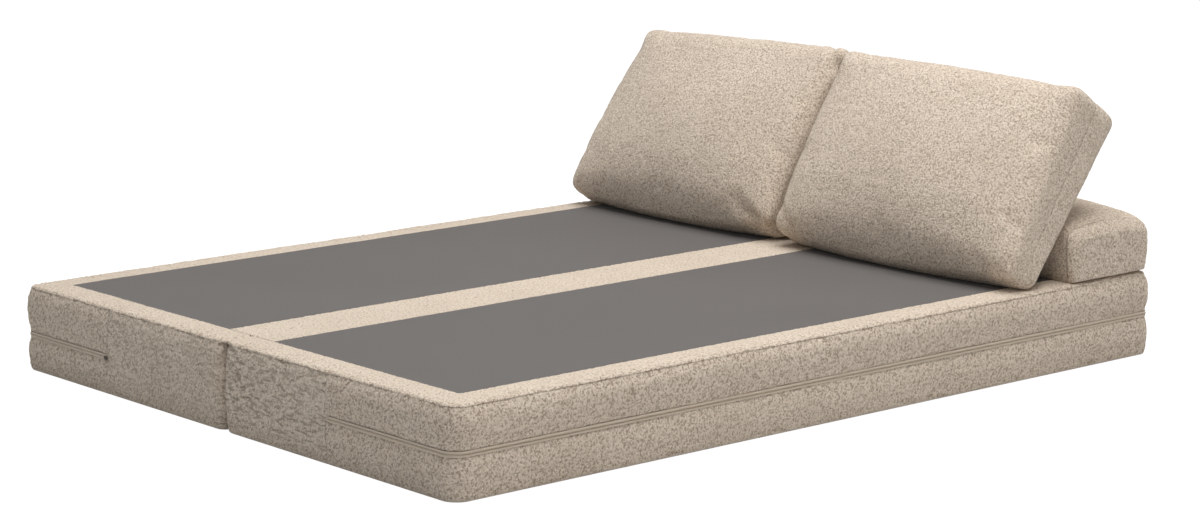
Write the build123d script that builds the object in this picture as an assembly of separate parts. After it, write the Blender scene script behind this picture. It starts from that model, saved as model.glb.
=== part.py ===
"""Flip-open foam sofa bed, opened flat, with a bolster and two leaning back cushions.

Two like upholstered foam blocks lie side by side and are joined by a fabric hinge along
their top edges. The front block flips up and over onto the rear block to make the sofa.
+X points across the bed to the front block, +Y to the head end, +Z up, and the origin is
on the floor under the middle of the fabric hinge. All lengths are in millimetres.
"""

import os
from math import cos, radians, sin, sqrt

from build123d import *

# Blocks
block_width = 760
block_length = 2000
block_height = 192
outer_corner = 42
hinge_corner = 26
side_clearance = 0.5
hinge_clearance = 0.3

# Covers of the blocks
cover_thickness = 4
core_inset = 11
border_width = 76
hinge_border_width = 78
top_seam_drop = 8
top_seam_inset = 3
top_edge_radius = 7
hinge_valley_radius = 2.5
panel_recess = 0.5
base_thickness = 3
base_inset = 14
floor_inset = 10
core_foot_height = 10
widest_height = 27
foot_bow = 3.5
lower_bow = 2.5
upper_bow = 4.5
plain_bow = 1.5

# Foam of the blocks
comfort_foam_height = 40
fit_clearance = 0.3

# Zips of the blocks
front_zip_height = 94
rear_zip_height = 82
zip_band = 12
zip_seam_inset = 6
zip_tape_inset = 8
zip_plain_end = 358
zip_slider_end = 426
zip_end_gap = 4
coil_width = 3.6
coil_rise = 1.6
coil_drop = 1.8
slider_length = 12
slider_width = 7.4
slider_rise = 3.4
slider_clearance = 0.3
slider_round = 0.8

# Bolster
bolster_end_inset = 2
bolster_depth = 255
bolster_height = 156
bolster_back_inset = 3
bolster_corner = 30
bolster_foot_inset = 7
bolster_side_bow = 5
bolster_crown = 9
bolster_sag_share = 0.18
bolster_end_round = 24
bolster_end_band = 26
bolster_body_steps = 4
bolster_end_steps = 4
seat_clearance = 0.3
loose_cover = 4
filling_clearance = 0.5
bolster_zip_end_inset = 118
bolster_zip_share = 0.22

# Back cushions
cushion_end_inset = 4
cushion_gap = 2
cushion_joint_shift = 18
cushion_height = 440
cushion_foot_half = 44
cushion_head_half = 64
cushion_crown = 29
cushion_edge_share = 0.62
cushion_end_thickness_share = 0.78
cushion_end_height_share = 0.96
cushion_steps = 7
cushion_lean = 56
cushion_foot_gap = 145
cushion_foot_rise = 20
right_cushion_forward = 10
cushion_zip_end_inset = 178
cushion_zip_share = 0.10
loose_tape_thickness = 2

# Worked out from the sizes above
half_length = block_length / 2
core_top = block_height - cover_thickness
seam_top = block_height - top_seam_drop
cut_overrun = 5
bolster_length = 2 * (block_width - bolster_end_inset)
bolster_zip_length = bolster_length - 2 * bolster_zip_end_inset
bolster_y = half_length - bolster_back_inset - bolster_depth / 2
cushion_foot_y = bolster_y - bolster_depth / 2 - cushion_foot_gap
seat_level = block_height + seat_clearance


def bowed(start, end, bow):
    """An arc from start to end whose middle stands off the chord by bow, to its right."""
    chord = Vector(*end) - Vector(*start)
    middle = (Vector(*start) + Vector(*end)) * (1 / 2)
    off = Vector(chord.Y, -chord.X).normalized() * bow
    return ThreePointArc(start, middle + off, end)


def block_outline(inset):
    """Plan of one block, drawn in by inset from its nominal sides."""
    width = block_width - side_clearance - 2 * inset
    centre = (block_width + side_clearance) / 2
    plan = Pos(centre, 0) * Rectangle(width, block_length - 2 * inset)
    plan = fillet(plan.vertices().group_by(Axis.X)[-1], outer_corner - inset)
    return fillet(plan.vertices().group_by(Axis.X)[0], hinge_corner - inset)


def slab(inset, low, high):
    """The block's plan, drawn in by inset, between two heights."""
    return extrude(Pos(0, 0, low) * block_outline(inset), high - low)


def zip_path(end_gap=0):
    """Line of the zip: round the outer long side, with a stretch on each end face."""
    corners = (
        (zip_plain_end + end_gap, -half_length),
        (block_width, -half_length),
        (block_width, half_length),
        (zip_slider_end + end_gap, half_length),
    )
    return FilletPolyline(*corners, radius=outer_corner)


def plain_path():
    """Line of the plain boxing: round the hinge side, from zip end to zip end."""
    corners = (
        (zip_slider_end, half_length),
        (side_clearance, half_length),
        (side_clearance, -half_length),
        (zip_plain_end, -half_length),
    )
    return FilletPolyline(*corners, radius=hinge_corner)


def run_round(section, path):
    """Sweep a section, drawn as distance out from the side and height, along a path."""
    along = path % 0
    outward = Vector(along.Y, -along.X)
    start = Plane(origin=path @ 0, x_dir=outward, z_dir=along * -1)
    return sweep(start * section, path=path)


def foot_profile():
    """Edges shared by both boxings from the core down round the foot to the widest place."""
    inner = Polyline(
        (-core_inset, base_thickness + core_foot_height),
        (-base_inset, base_thickness),
        (-base_inset, 0),
        (-floor_inset, 0),
    )
    return inner + bowed((-floor_inset, 0), (0, widest_height), foot_bow)


def lower_boxing(zip_at):
    band_bottom = zip_at - zip_band / 2
    side = bowed((0, widest_height), (-zip_seam_inset, band_bottom), lower_bow)
    back = Polyline(
        (-zip_seam_inset, band_bottom),
        (-core_inset, band_bottom),
        (-core_inset, base_thickness + core_foot_height),
    )
    return run_round(make_face(foot_profile() + side + back), zip_path())


def upper_boxing(zip_at):
    band_top = zip_at + zip_band / 2
    side = bowed((-zip_seam_inset, band_top), (-top_seam_inset, seam_top), upper_bow)
    back = Polyline(
        (-top_seam_inset, seam_top),
        (-core_inset, seam_top),
        (-core_inset, band_top),
        (-zip_seam_inset, band_top),
    )
    return run_round(make_face(side + back), zip_path())


def plain_boxing():
    side = bowed((0, widest_height), (-top_seam_inset, seam_top), plain_bow)
    back = Polyline(
        (-top_seam_inset, seam_top),
        (-core_inset, seam_top),
        (-core_inset, base_thickness + core_foot_height),
    )
    return run_round(make_face(foot_profile() + side + back), plain_path())


def hinge_band():
    """Plan space that the hinge border fills between the two end borders."""
    width = hinge_border_width + cut_overrun
    middle = hinge_border_width - width / 2
    return Pos(middle, 0) * Rectangle(width, block_length - 2 * border_width)


def panel_plan():
    """Plan of the sleeping panel, inside the four borders."""
    width = block_width - border_width - hinge_border_width
    centre = hinge_border_width + width / 2
    return Pos(centre, 0) * Rectangle(width, block_length - 2 * border_width)


def top_border():
    """Outer long border with both end borders, turned down over the edge to the top seam."""
    cap = slab(top_seam_inset, seam_top, block_height)
    rim = cap.faces().sort_by(Axis.Z)[-1].edges()
    cap = fillet(rim, top_edge_radius)
    cap -= slab(core_inset, seam_top, core_top)
    return cap - extrude(Pos(0, 0, seam_top) * (hinge_band() + panel_plan()), top_seam_drop)


def hinge_border():
    """Half of the fabric hinge: a strip along the hinge line, with its lip over the boxing."""
    lip = side_clearance + core_inset
    valley = hinge_clearance + hinge_valley_radius
    flat = Polyline(
        (hinge_clearance, block_height - hinge_valley_radius),
        (hinge_clearance, seam_top),
        (lip, seam_top),
        (lip, core_top),
        (hinge_border_width, core_top),
        (hinge_border_width, block_height),
        (valley, block_height),
    )
    round_over = RadiusArc(
        (valley, block_height),
        (hinge_clearance, block_height - hinge_valley_radius),
        -hinge_valley_radius,
    )
    length = block_length - 2 * border_width
    return extrude(Plane.XZ.offset(-length / 2) * make_face(flat + round_over), length)


def sleeping_panel():
    thickness = cover_thickness - panel_recess
    return extrude(Pos(0, 0, core_top) * panel_plan(), thickness)


def bottom_panel():
    return slab(base_inset + fit_clearance, 0, base_thickness)


def base_foam():
    """Firm lower foam, with a chamfered foot inside the rounded bottom edge."""
    foot = loft(
        [
            Pos(0, 0, base_thickness) * block_outline(base_inset + fit_clearance),
            Pos(0, 0, base_thickness + core_foot_height) * block_outline(core_inset + fit_clearance),
        ],
        ruled=True,
    )
    body_low = base_thickness + core_foot_height
    return foot + slab(core_inset + fit_clearance, body_low, core_top - comfort_foam_height)


def comfort_foam():
    return slab(core_inset + fit_clearance, core_top - comfort_foam_height, core_top)


def zip_tape(zip_at):
    depth = core_inset - zip_tape_inset
    middle = -(core_inset + zip_tape_inset) / 2
    section = Pos(middle, zip_at) * Rectangle(depth, zip_band)
    return run_round(section, zip_path())


def zip_coil(zip_at):
    middle = -zip_tape_inset + coil_rise / 2
    section = Pos(middle, zip_at - coil_drop) * Rectangle(coil_rise, coil_width)
    return run_round(section, zip_path(zip_end_gap))


def slider():
    """Zip slider astride the coil: length along X, outward along Z, seated on the tape."""
    body = Pos(0, 0, slider_rise / 2) * Box(slider_length, slider_width, slider_rise)
    body = fillet(body.faces().sort_by(Axis.Z)[-1].edges(), slider_round)
    slot_width = coil_width + 2 * slider_clearance
    slot = Pos(0, 0, coil_rise / 2) * Box(slider_length + cut_overrun, slot_width, coil_rise)
    return Pos(0, 0, slider_clearance) * (body - slot)


def block_zip_slider(zip_at):
    place = Plane(
        origin=(
            zip_slider_end + zip_end_gap + slider_length / 2,
            half_length - zip_tape_inset,
            zip_at - coil_drop,
        ),
        x_dir=(1, 0, 0),
        z_dir=(0, 1, 0),
    )
    return place * slider()


def bolster_section(x, drawn_in, inset):
    """Section of the bolster: flat foot, bowed sides, rounded shoulders, crowned top."""
    along = 2 * abs(x) / bolster_length
    shrink = inset + drawn_in
    half = bolster_depth / 2 - shrink
    low = inset + drawn_in / 2
    foot = half - bolster_foot_inset
    top = bolster_height * (1 - bolster_sag_share * along**4) - bolster_crown - shrink
    shoulder = bolster_corner - shrink
    turn = shoulder * (1 - cos(radians(45)))
    back = bowed((foot, low), (half, top - shoulder), bolster_side_bow)
    front = bowed((-half, top - shoulder), (-foot, low), bolster_side_bow)
    back_round = ThreePointArc((half, top - shoulder), (half - turn, top - turn), (half - shoulder, top))
    front_round = ThreePointArc(
        (shoulder - half, top), (turn - half, top - turn), (-half, top - shoulder)
    )
    crown = bowed((half - shoulder, top), (shoulder - half, top), bolster_crown)
    line = Line((-foot, low), (foot, low))
    plane = Plane(origin=(x, bolster_y, seat_level), x_dir=(0, 1, 0), z_dir=(1, 0, 0))
    return plane * make_face(line + back + back_round + crown + front_round + front)


def bolster_form(inset):
    """The bolster drawn in by inset: even stations along it and a rounded end each way."""
    round_start = bolster_length / 2 - bolster_end_round
    half = [(round_start * n / bolster_body_steps, 0) for n in range(bolster_body_steps)]
    for n in range(bolster_end_steps + 1):
        turn = radians(90 * n / bolster_end_steps)
        reach = (bolster_end_round - inset) * sin(turn)
        half.append((round_start + reach, bolster_end_round * (1 - cos(turn))))
    stations = [(-x, drawn_in) for x, drawn_in in half[:0:-1]] + half
    sections = [bolster_section(x, drawn_in, inset) for x, drawn_in in stations]
    return loft(sections, ruled=True)


def bolster_ends(overrun):
    """The space of the two end panels."""
    reach = bolster_end_band + overrun
    middle = bolster_length / 2 - bolster_end_band + reach / 2
    space = Box(reach, bolster_depth + 2 * overrun, bolster_height + 2 * overrun)
    level = seat_level + bolster_height / 2
    return Pos(middle, bolster_y, level) * space + Pos(-middle, bolster_y, level) * space


def cushion_width(side):
    """Width of a cushion: the right one presses the joint over to the left one's side."""
    return block_width - cushion_end_inset - cushion_gap / 2 + side * cushion_joint_shift


def cushion_section(x, thick_share, high_share, inset):
    """Section of a cushion in its own upright frame: Y to the back, Z up its height."""
    foot_half = cushion_foot_half * thick_share - inset
    head_half = cushion_head_half * thick_share - inset
    crown = cushion_crown * thick_share
    middle = cushion_height / 2
    low = middle - middle * high_share
    high = middle + middle * high_share
    back = bowed((foot_half, low), (head_half, high), crown)
    head = bowed((head_half, high), (-head_half, high), head_half * cushion_edge_share)
    front = bowed((-head_half, high), (-foot_half, low), crown)
    foot = bowed((-foot_half, low), (foot_half, low), foot_half * cushion_edge_share)
    plane = Plane(origin=(x, 0, 0), x_dir=(0, 1, 0), z_dir=(1, 0, 0))
    return plane * make_face(back + head + front + foot), back


def cushion_form(side, inset):
    """A cushion drawn in by inset, fullest in the middle and thinner towards its ends."""
    half = cushion_width(side) / 2 - inset
    sections = []
    for n in range(-cushion_steps, cushion_steps + 1):
        place = sin(radians(90 * n / cushion_steps))
        fullness = sqrt(max(0, 1 - place**4))
        thick = cushion_end_thickness_share + (1 - cushion_end_thickness_share) * fullness
        high = cushion_end_height_share + (1 - cushion_end_height_share) * fullness
        sections.append(cushion_section(place * half, thick, high, inset)[0])
    return loft(sections, ruled=True)


def cushion_place(side):
    """Where a cushion leans: side is 1 for the right cushion and -1 for the left."""
    forward = right_cushion_forward if side > 0 else 0
    x = side * (cushion_width(side) + cushion_gap) / 2 - cushion_joint_shift
    lean = Pos(x, cushion_foot_y - forward, block_height + cushion_foot_rise)
    return lean * Rot(cushion_lean - 90, 0, 0)


def leaning(side, inset):
    """A cushion form put in place, pressed flat by the bed and dented by the bolster."""
    placed = cushion_place(side) * cushion_form(side, inset)
    below = seat_level + inset
    bed = Pos(0, 0, below / 2) * Box(2 * block_width, block_length, below)
    return placed - bed - bolster_form(-seat_clearance - inset)


def half_space(side, back):
    """Space on one face of a cushion's seam plane."""
    size = 2 * cushion_height
    shift = size / 2 if back else -size / 2
    return cushion_place(side) * Pos(0, shift, cushion_height / 2) * Box(2 * block_width, size, size)


def zip_set(place, length, thickness):
    """Pocket, tape, coil and slider of a straight zip on a plane that looks outward."""
    pocket_depth = 3 * thickness
    pocket = place * Box(length, zip_band, pocket_depth)
    tape_low = -thickness
    tape_middle = tape_low + loose_tape_thickness / 2
    tape = place * Pos(0, 0, tape_middle) * Box(length, zip_band, loose_tape_thickness)
    tape_top = tape_low + loose_tape_thickness
    coil_length = length - 2 * zip_end_gap
    coil = place * Pos(0, 0, tape_top + coil_rise / 2) * Box(coil_length, coil_width, coil_rise)
    slider_x = coil_length / 2 - slider_length / 2
    moved = place * Pos(slider_x, 0, tape_top) * slider()
    return pocket, tape, coil, moved


def bolster_zip_place():
    half = bolster_depth / 2
    top = bolster_height - bolster_crown - bolster_corner
    side = bowed((half - bolster_foot_inset, 0), (half, top), bolster_side_bow)
    point = side @ bolster_zip_share
    along = side % bolster_zip_share
    return Plane(
        origin=(0, bolster_y + point.X, seat_level + point.Y),
        x_dir=(1, 0, 0),
        z_dir=(0, along.Y, -along.X),
    )


def cushion_zip_place(side):
    back = cushion_section(0, 1, 1, 0)[1]
    point = back @ cushion_zip_share
    along = back % cushion_zip_share
    own = Plane(origin=(0, point.X, point.Y), x_dir=(1, 0, 0), z_dir=(0, along.Y, -along.X))
    return cushion_place(side) * own.location


def block_nodes(zip_at):
    """A block's sub-parts with its zip at a height. The rear block is the same, turned half round."""
    return {
        "bottom_panel": bottom_panel(),
        "base_foam": base_foam(),
        "comfort_foam": comfort_foam(),
        "lower_boxing": lower_boxing(zip_at),
        "upper_boxing": upper_boxing(zip_at),
        "plain_boxing": plain_boxing(),
        "top_border": top_border(),
        "hinge_border": hinge_border(),
        "sleeping_panel": sleeping_panel(),
        "zip_tape": zip_tape(zip_at),
        "zip_coil": zip_coil(zip_at),
        "zip_slider": block_zip_slider(zip_at),
    }


def bolster_nodes():
    shell = bolster_form(0) - bolster_form(loose_cover)
    pocket, tape, coil, moved = zip_set(bolster_zip_place(), bolster_zip_length, loose_cover)
    ends = bolster_ends(cut_overrun)
    return {
        "bolster_core": bolster_form(loose_cover + filling_clearance),
        "bolster_cover": shell - ends - pocket,
        "bolster_end_panels": shell & ends,
        "bolster_zip_tape": tape,
        "bolster_zip_coil": coil,
        "bolster_zip_slider": moved,
    }


def cushion_nodes(side):
    shell = leaning(side, 0) - leaning(side, loose_cover)
    zip_length = cushion_width(side) - 2 * cushion_zip_end_inset
    pocket, tape, coil, moved = zip_set(cushion_zip_place(side), zip_length, loose_cover)
    name = "right_cushion" if side > 0 else "left_cushion"
    return {
        name + "_front_cover": shell & half_space(side, False),
        name + "_back_cover": (shell & half_space(side, True)) - pocket,
        name + "_filling": leaning(side, loose_cover + filling_clearance),
        name + "_zip_tape": tape,
        name + "_zip_coil": coil,
        name + "_zip_slider": moved,
    }


def main():
    os.makedirs("parts", exist_ok=True)
    nodes = {}
    for name, solid in block_nodes(front_zip_height).items():
        nodes["front_" + name] = solid
    for name, solid in block_nodes(rear_zip_height).items():
        nodes["rear_" + name] = Rot(0, 0, 180) * solid
    nodes.update(bolster_nodes())
    for side in (-1, 1):
        nodes.update(cushion_nodes(side))
    for name, solid in nodes.items():
        export_step(solid, f"parts/{name}.step")
        print(f"{name}: {solid.volume:.0f} mm3")


main()
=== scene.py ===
# %% [markdown]
# # A flip-open foam sofa bed in curly cloth
#
# Two foam blocks lie side by side and are joined along their top edges by a strip of their own
# cloth, so the front one can be flipped over onto the rear one. A bolster and two back cushions lie
# at the head end. The solids of the frame say where every piece is. This lesson gives each its
# cloth: seams, a soft swell, a curly nap, zips with teeth, and cushions that are really blown up.

from itertools import product
from math import cos, pi, radians, sin

import bpy
import numpy as np
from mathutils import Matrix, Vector


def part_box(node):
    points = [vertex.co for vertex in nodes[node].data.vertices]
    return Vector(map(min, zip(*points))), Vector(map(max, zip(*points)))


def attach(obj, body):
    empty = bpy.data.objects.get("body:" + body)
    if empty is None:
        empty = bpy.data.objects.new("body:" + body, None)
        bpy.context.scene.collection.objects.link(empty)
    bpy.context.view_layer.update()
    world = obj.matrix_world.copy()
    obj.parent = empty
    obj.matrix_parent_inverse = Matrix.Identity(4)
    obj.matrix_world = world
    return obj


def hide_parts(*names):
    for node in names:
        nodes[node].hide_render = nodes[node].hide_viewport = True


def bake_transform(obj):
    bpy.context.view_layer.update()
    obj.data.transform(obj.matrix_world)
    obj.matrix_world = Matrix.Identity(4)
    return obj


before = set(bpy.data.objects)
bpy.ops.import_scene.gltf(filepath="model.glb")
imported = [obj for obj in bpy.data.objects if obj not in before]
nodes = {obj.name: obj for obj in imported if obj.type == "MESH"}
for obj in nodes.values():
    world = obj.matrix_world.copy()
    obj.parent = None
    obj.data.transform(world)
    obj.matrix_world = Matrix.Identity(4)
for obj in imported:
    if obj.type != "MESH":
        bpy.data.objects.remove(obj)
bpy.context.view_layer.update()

# %% [markdown]
# ## Sizes come from the frame
#
# Lengths are in metres. What the solids say is read from them, and only what is finer, such as the
# roll of a seam, is named here.

# %% Read the main sizes
MM = 0.001


def box(node):
    """Lowest and highest corner of a solid of the frame, as arrays."""
    low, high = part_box(node)
    return np.array(low), np.array(high)


def middle_of(node):
    low, high = box(node)
    return (low + high) / 2


block_high = box("front_lower_boxing")[1]
border_high = box("front_top_border")[1]
panel_low, panel_high = box("front_sleeping_panel")
block_width, half_length = block_high[0], block_high[1]
block_height = border_high[2]
border_width = half_length - panel_high[1]
print("block", block_width, "by", 2 * half_length, "by", block_height)

# %% [markdown]
# ## Noise worked out as arrays
#
# Cloth is never quite even. One smooth noise, worked out for all points of a mesh at once, serves
# for the nap, for slack and for ripples. The usual lattice noise is the plainest that has no grain.

# %% Lattice noise
HASH_STEPS = np.array([73856093, 19349663, 83492791])
HASH_MIX = 668265263
SLOPE_COUNT = 4096
NOISE_GAIN = 1.6


def noise(points, size, seed=0):
    """Smooth noise of about -1 to 1. Each corner of a cubic lattice holds a random slope, and a
    point takes the heights of the eight slopes round it, eased with 6t^5 - 15t^4 + 10t^3."""
    slopes = np.random.default_rng(seed).normal(size=(SLOPE_COUNT, 3))
    slopes /= np.linalg.norm(slopes, axis=1, keepdims=True)
    cell, inside = np.divmod(points / size, 1.0)
    cell = cell.astype(np.int64)
    ease = inside**3 * (inside * (6 * inside - 15) + 10)
    height = np.zeros(len(points))
    for corner in product((0, 1), repeat=3):
        key = (cell + corner) @ HASH_STEPS
        key = (key ^ (key >> 13)) * HASH_MIX
        slope = slopes[(key ^ (key >> 17)) % SLOPE_COUNT]
        weight = np.prod(np.where(corner, ease, 1 - ease), axis=1)
        height += weight * np.sum(slope * (inside - corner), axis=1)
    return NOISE_GAIN * height


def smooth(low, high, value):
    """0 below low, 1 above high and 3t^2 - 2t^3 between."""
    share = np.clip((value - low) / (high - low), 0, 1)
    return share * share * (3 - 2 * share)


SAMPLES = np.array([[0, 0, 0.1], [0.3, 0, 0.1], [0.7, 0.2, 0]])
print("noise at three points:", noise(SAMPLES, 0.1).round(2))

# %% [markdown]
# ## Meshes from grids
#
# A strip of cloth is a closed section carried along a line, so its points form a grid that joins up
# one way. Quads between neighbours cover it and one flat face closes each end. The signed volume
# says whether its sides look outwards, and all faces are turned if it is negative.

# %% Build a mesh from arrays


def quads(index):
    """Quads between neighbouring rows and columns of a table of point numbers."""
    corners = index[:-1, :-1], index[1:, :-1], index[1:, 1:], index[:-1, 1:]
    return np.stack(corners, axis=-1).reshape(-1, 4)


def wrapped(rows, columns, start=0):
    """The quads of a grid whose columns close up, and its two end faces. The end faces are wound
    the other way round than the quads, which smooth shading hides but the faces' own directions
    keep."""
    index = np.arange(rows * columns).reshape(rows, columns) + start
    closed = np.concatenate([index, index[:, :1]], axis=1)
    return quads(closed), [index[0, ::-1], index[-1]]


def linked(name, data):
    """A new object of the scene that shows the data."""
    made = bpy.data.objects.new(name, data)
    bpy.context.scene.collection.objects.link(made)
    return made


def signed_volume(points, faces, caps):
    """Sum of a . (b x c) / 6 over triangles: positive if the faces look outwards."""
    triangles = [faces[:, [0, 1, 2]], faces[:, [0, 2, 3]]]
    for cap in caps:
        triangles.append(np.stack([np.full(len(cap) - 2, cap[0]), cap[1:-1], cap[2:]], axis=1))
    a, b, c = points[np.concatenate(triangles)].transpose(1, 0, 2)
    return np.einsum("ij,ij->", a, np.cross(b, c)) / 6


def solid(name, points, faces, caps=()):
    """A closed, smooth-shaded mesh at the origin, turned so that its signed volume is positive."""
    if signed_volume(points, faces, caps) < 0:
        faces, caps = faces[:, ::-1], [cap[::-1] for cap in caps]
    mesh = bpy.data.meshes.new(name)
    mesh.from_pydata(points.tolist(), [], faces.tolist() + [cap.tolist() for cap in caps])
    mesh.shade_smooth()
    return linked(name, mesh)


def tube(name, grid):
    """A solid from a grid of sections: rows go along it, and the columns of a row close up."""
    return solid(name, grid.reshape(-1, 3), *wrapped(*grid.shape[:2]))


def swept(section, along):
    """A grid that carries an (x, z) section along y."""
    grid = np.empty((len(along), len(section), 3))
    grid[:, :, 0], grid[:, :, 1], grid[:, :, 2] = section[:, 0], along[:, None], section[:, 1]
    return grid


def vectors(items, field):
    """A vector field of a mesh's points as an array."""
    flat = np.empty(len(items) * 3, np.float32)
    items.foreach_get(field, flat)
    return flat.reshape(-1, 3).astype(float)


def places(mesh):
    return vectors(mesh.vertices, "co")


def outward_normals(mesh):
    return vectors(mesh.vertex_normals, "vector")


def move_to(mesh, points):
    """Puts the points of a mesh where the array says."""
    mesh.vertices.foreach_set("co", points.astype(np.float32).ravel())
    mesh.update()


def keep_pile(mesh, height, combed=0.0):
    """Stores the nap's height and how far it is combed, a number each a point, for the material."""
    for name, values in (("nap", height), ("combed", combed)):
        values = np.broadcast_to(values, len(mesh.vertices)).astype(np.float32)
        mesh.attributes.new(name, "FLOAT", "POINT").data.foreach_set("value", values)


# %% [markdown]
# ## The curly cloth
#
# Boucle is woven from looped yarn, so its face is a crowd of soft curls with dark pits between.
# Painted on, it would look flat at the edges of a cushion. Here the larger curls are real: every
# point of a piece moves along its normal by a nap height, and the material shades by that height.

# %% Raise the nap
NAP_DEPTH = 2.1 * MM
NAP_MIDDLE = 0.6
CURL_SIZE = 6.0 * MM
FINE_CURL_SIZE = 4.2 * MM
SLACK_SIZE = 170 * MM
TUG_SIZE = 45 * MM
RIPPLE_SHADE = 5 * MM
PIT_HEIGHT, CURL_HEIGHT = -0.75, 0.55


def nap(points):
    """Height of the nap, from 0 in a pit to 1 on a curl: two noises of curl size, pulled to their
    top by a smooth step, so that pits are small and curls are broad."""
    height = noise(points, CURL_SIZE, 1) + 0.5 * noise(points, FINE_CURL_SIZE, 2)
    return smooth(PIT_HEIGHT, CURL_HEIGHT, height)


def upholster(piece, shown=1.0, slack=1.0 * MM, ripple=0.0, pile=1.0, combed=0.0):
    """Raises the nap of a piece where shown is 1, over a soft unevenness of the cloth. Pile is how
    far its curls and pits stand from the middle, next to those of the blocks' sides."""
    mesh = piece.data
    points = places(mesh)
    # Ripple valleys lower the kept height, so the material paints more shade into them.
    height = np.clip(nap(points) + ripple / RIPPLE_SHADE, 0, 1)
    height = NAP_MIDDLE + pile * (height - NAP_MIDDLE)
    soft = slack * (noise(points, SLACK_SIZE, 3) + 0.4 * noise(points, TUG_SIZE, 4))
    lift = shown * (NAP_DEPTH * (height - NAP_MIDDLE) + soft + ripple)
    move_to(mesh, points + outward_normals(mesh) * lift[:, None])
    keep_pile(mesh, 1 - np.clip(shown, 0, 1) * (1 - height), combed)


# %% [markdown]
# ## Lines in plan
#
# The side strips run round each block on a line with rounded corners. A route knows its place and
# its outward side at any length, so a section can be carried along it by plain array sums.

# %% Routes
ARC_POINTS = 24
SEARCH_POINTS = 4001


def between(wanted, lengths, points):
    """Points of a plan line at the wanted lengths, straight between those it has."""
    return np.stack([np.interp(wanted, lengths, points[:, k]) for k in (0, 1)], axis=1)


class Route:
    """A plan line with rounded corners. A corner with radius r leaves its run r tan(turn / 2)
    before the corner and turns on a circle. Outward is to the right of travel."""

    def __init__(self, corners, radii):
        corners = np.array(corners, float)
        runs = np.diff(corners, axis=0)
        ahead = runs / np.linalg.norm(runs, axis=1, keepdims=True)
        right = np.stack([ahead[:, 1], -ahead[:, 0]], axis=1)
        line, side = [corners[:1]], [right[:1]]
        for n, radius in enumerate(radii):
            turn = np.arccos(np.clip(ahead[n] @ ahead[n + 1], -1, 1))
            start = corners[n + 1] - ahead[n] * radius * np.tan(turn / 2)
            angle = np.linspace(0, turn, ARC_POINTS)[:, None]
            outward = np.cos(angle) * right[n] + np.sin(angle) * ahead[n]
            line.append(start - radius * right[n] + radius * outward)
            side.append(outward)
        self.line = np.concatenate(line + [corners[-1:]])
        self.side = np.concatenate(side + [right[-1:]])
        steps = np.linalg.norm(np.diff(self.line, axis=0), axis=1)
        self.lengths = np.concatenate([[0], np.cumsum(steps)])
        self.length = self.lengths[-1]

    def at(self, lengths):
        """Place and outward direction at each length."""
        place, outward = (between(lengths, self.lengths, kept) for kept in (self.line, self.side))
        return place, outward / np.linalg.norm(outward, axis=1, keepdims=True)

    def length_of(self, point):
        """The length at which the route comes nearest to a point."""
        fine = np.linspace(0, self.length, SEARCH_POINTS)
        return fine[np.argmin(np.linalg.norm(self.at(fine)[0] - np.array(point), axis=1))]


def spaced(length, spacing):
    """Even stations along a length, about a spacing apart."""
    return np.linspace(0, length, max(2, round(length / spacing)) + 1)


def marks(low, high, step):
    """Even marks from low to high, about a step apart."""
    return np.linspace(low, high, round((high - low) / step))


def bow(start, end, height, count):
    """Points from start to end on a shallow bow that stands off the chord to its right:
    chord(t) + 4 t (1 - t) height."""
    start, end = np.array(start, float), np.array(end, float)
    chord = end - start
    right = np.array([chord[1], -chord[0]]) / np.linalg.norm(chord)
    share = np.linspace(0, 1, count)[:, None]
    return start + chord * share + 4 * share * (1 - share) * height * right


def turn(centre, radius, first, last, count):
    """Points on a circle, from one angle to another in degrees."""
    angle = np.radians(np.linspace(first, last, count))[:, None]
    return np.array(centre) + radius * np.concatenate([np.cos(angle), np.sin(angle)], axis=1)


# %% [markdown]
# ## Shaders as arithmetic
#
# A material is a small graph. Node after node it is hard to read, so a socket is wrapped in a class
# whose plus, minus and times add the Math nodes, and one method makes any other node.

# %% Wrap a socket
MIX_FACTOR, MIX_A, MIX_B, MIX_RESULT = 0, 6, 7, 2


class Signal:
    """A shader socket that takes part in Python arithmetic."""

    def __init__(self, finish, socket):
        self.finish, self.socket = finish, socket

    def maths(self, operation, *values, clamp=False):
        settings = {"operation": operation, "use_clamp": clamp}
        return self.finish.node("ShaderNodeMath", settings, values)

    def __add__(self, other):
        return self.maths("ADD", self, other)

    def __sub__(self, other):
        return self.maths("SUBTRACT", self, other)

    def __rsub__(self, other):
        return self.maths("SUBTRACT", other, self)

    def __mul__(self, other):
        return self.maths("MULTIPLY", self, other)

    __radd__, __rmul__ = __add__, __mul__

    def step(self, low, high):
        """0 below low, 1 above high, smooth between."""
        settings = {"interpolation_type": "SMOOTHSTEP"}
        values = {"Value": self, "From Min": low, "From Max": high}
        return self.finish.node("ShaderNodeMapRange", settings, values)


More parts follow.
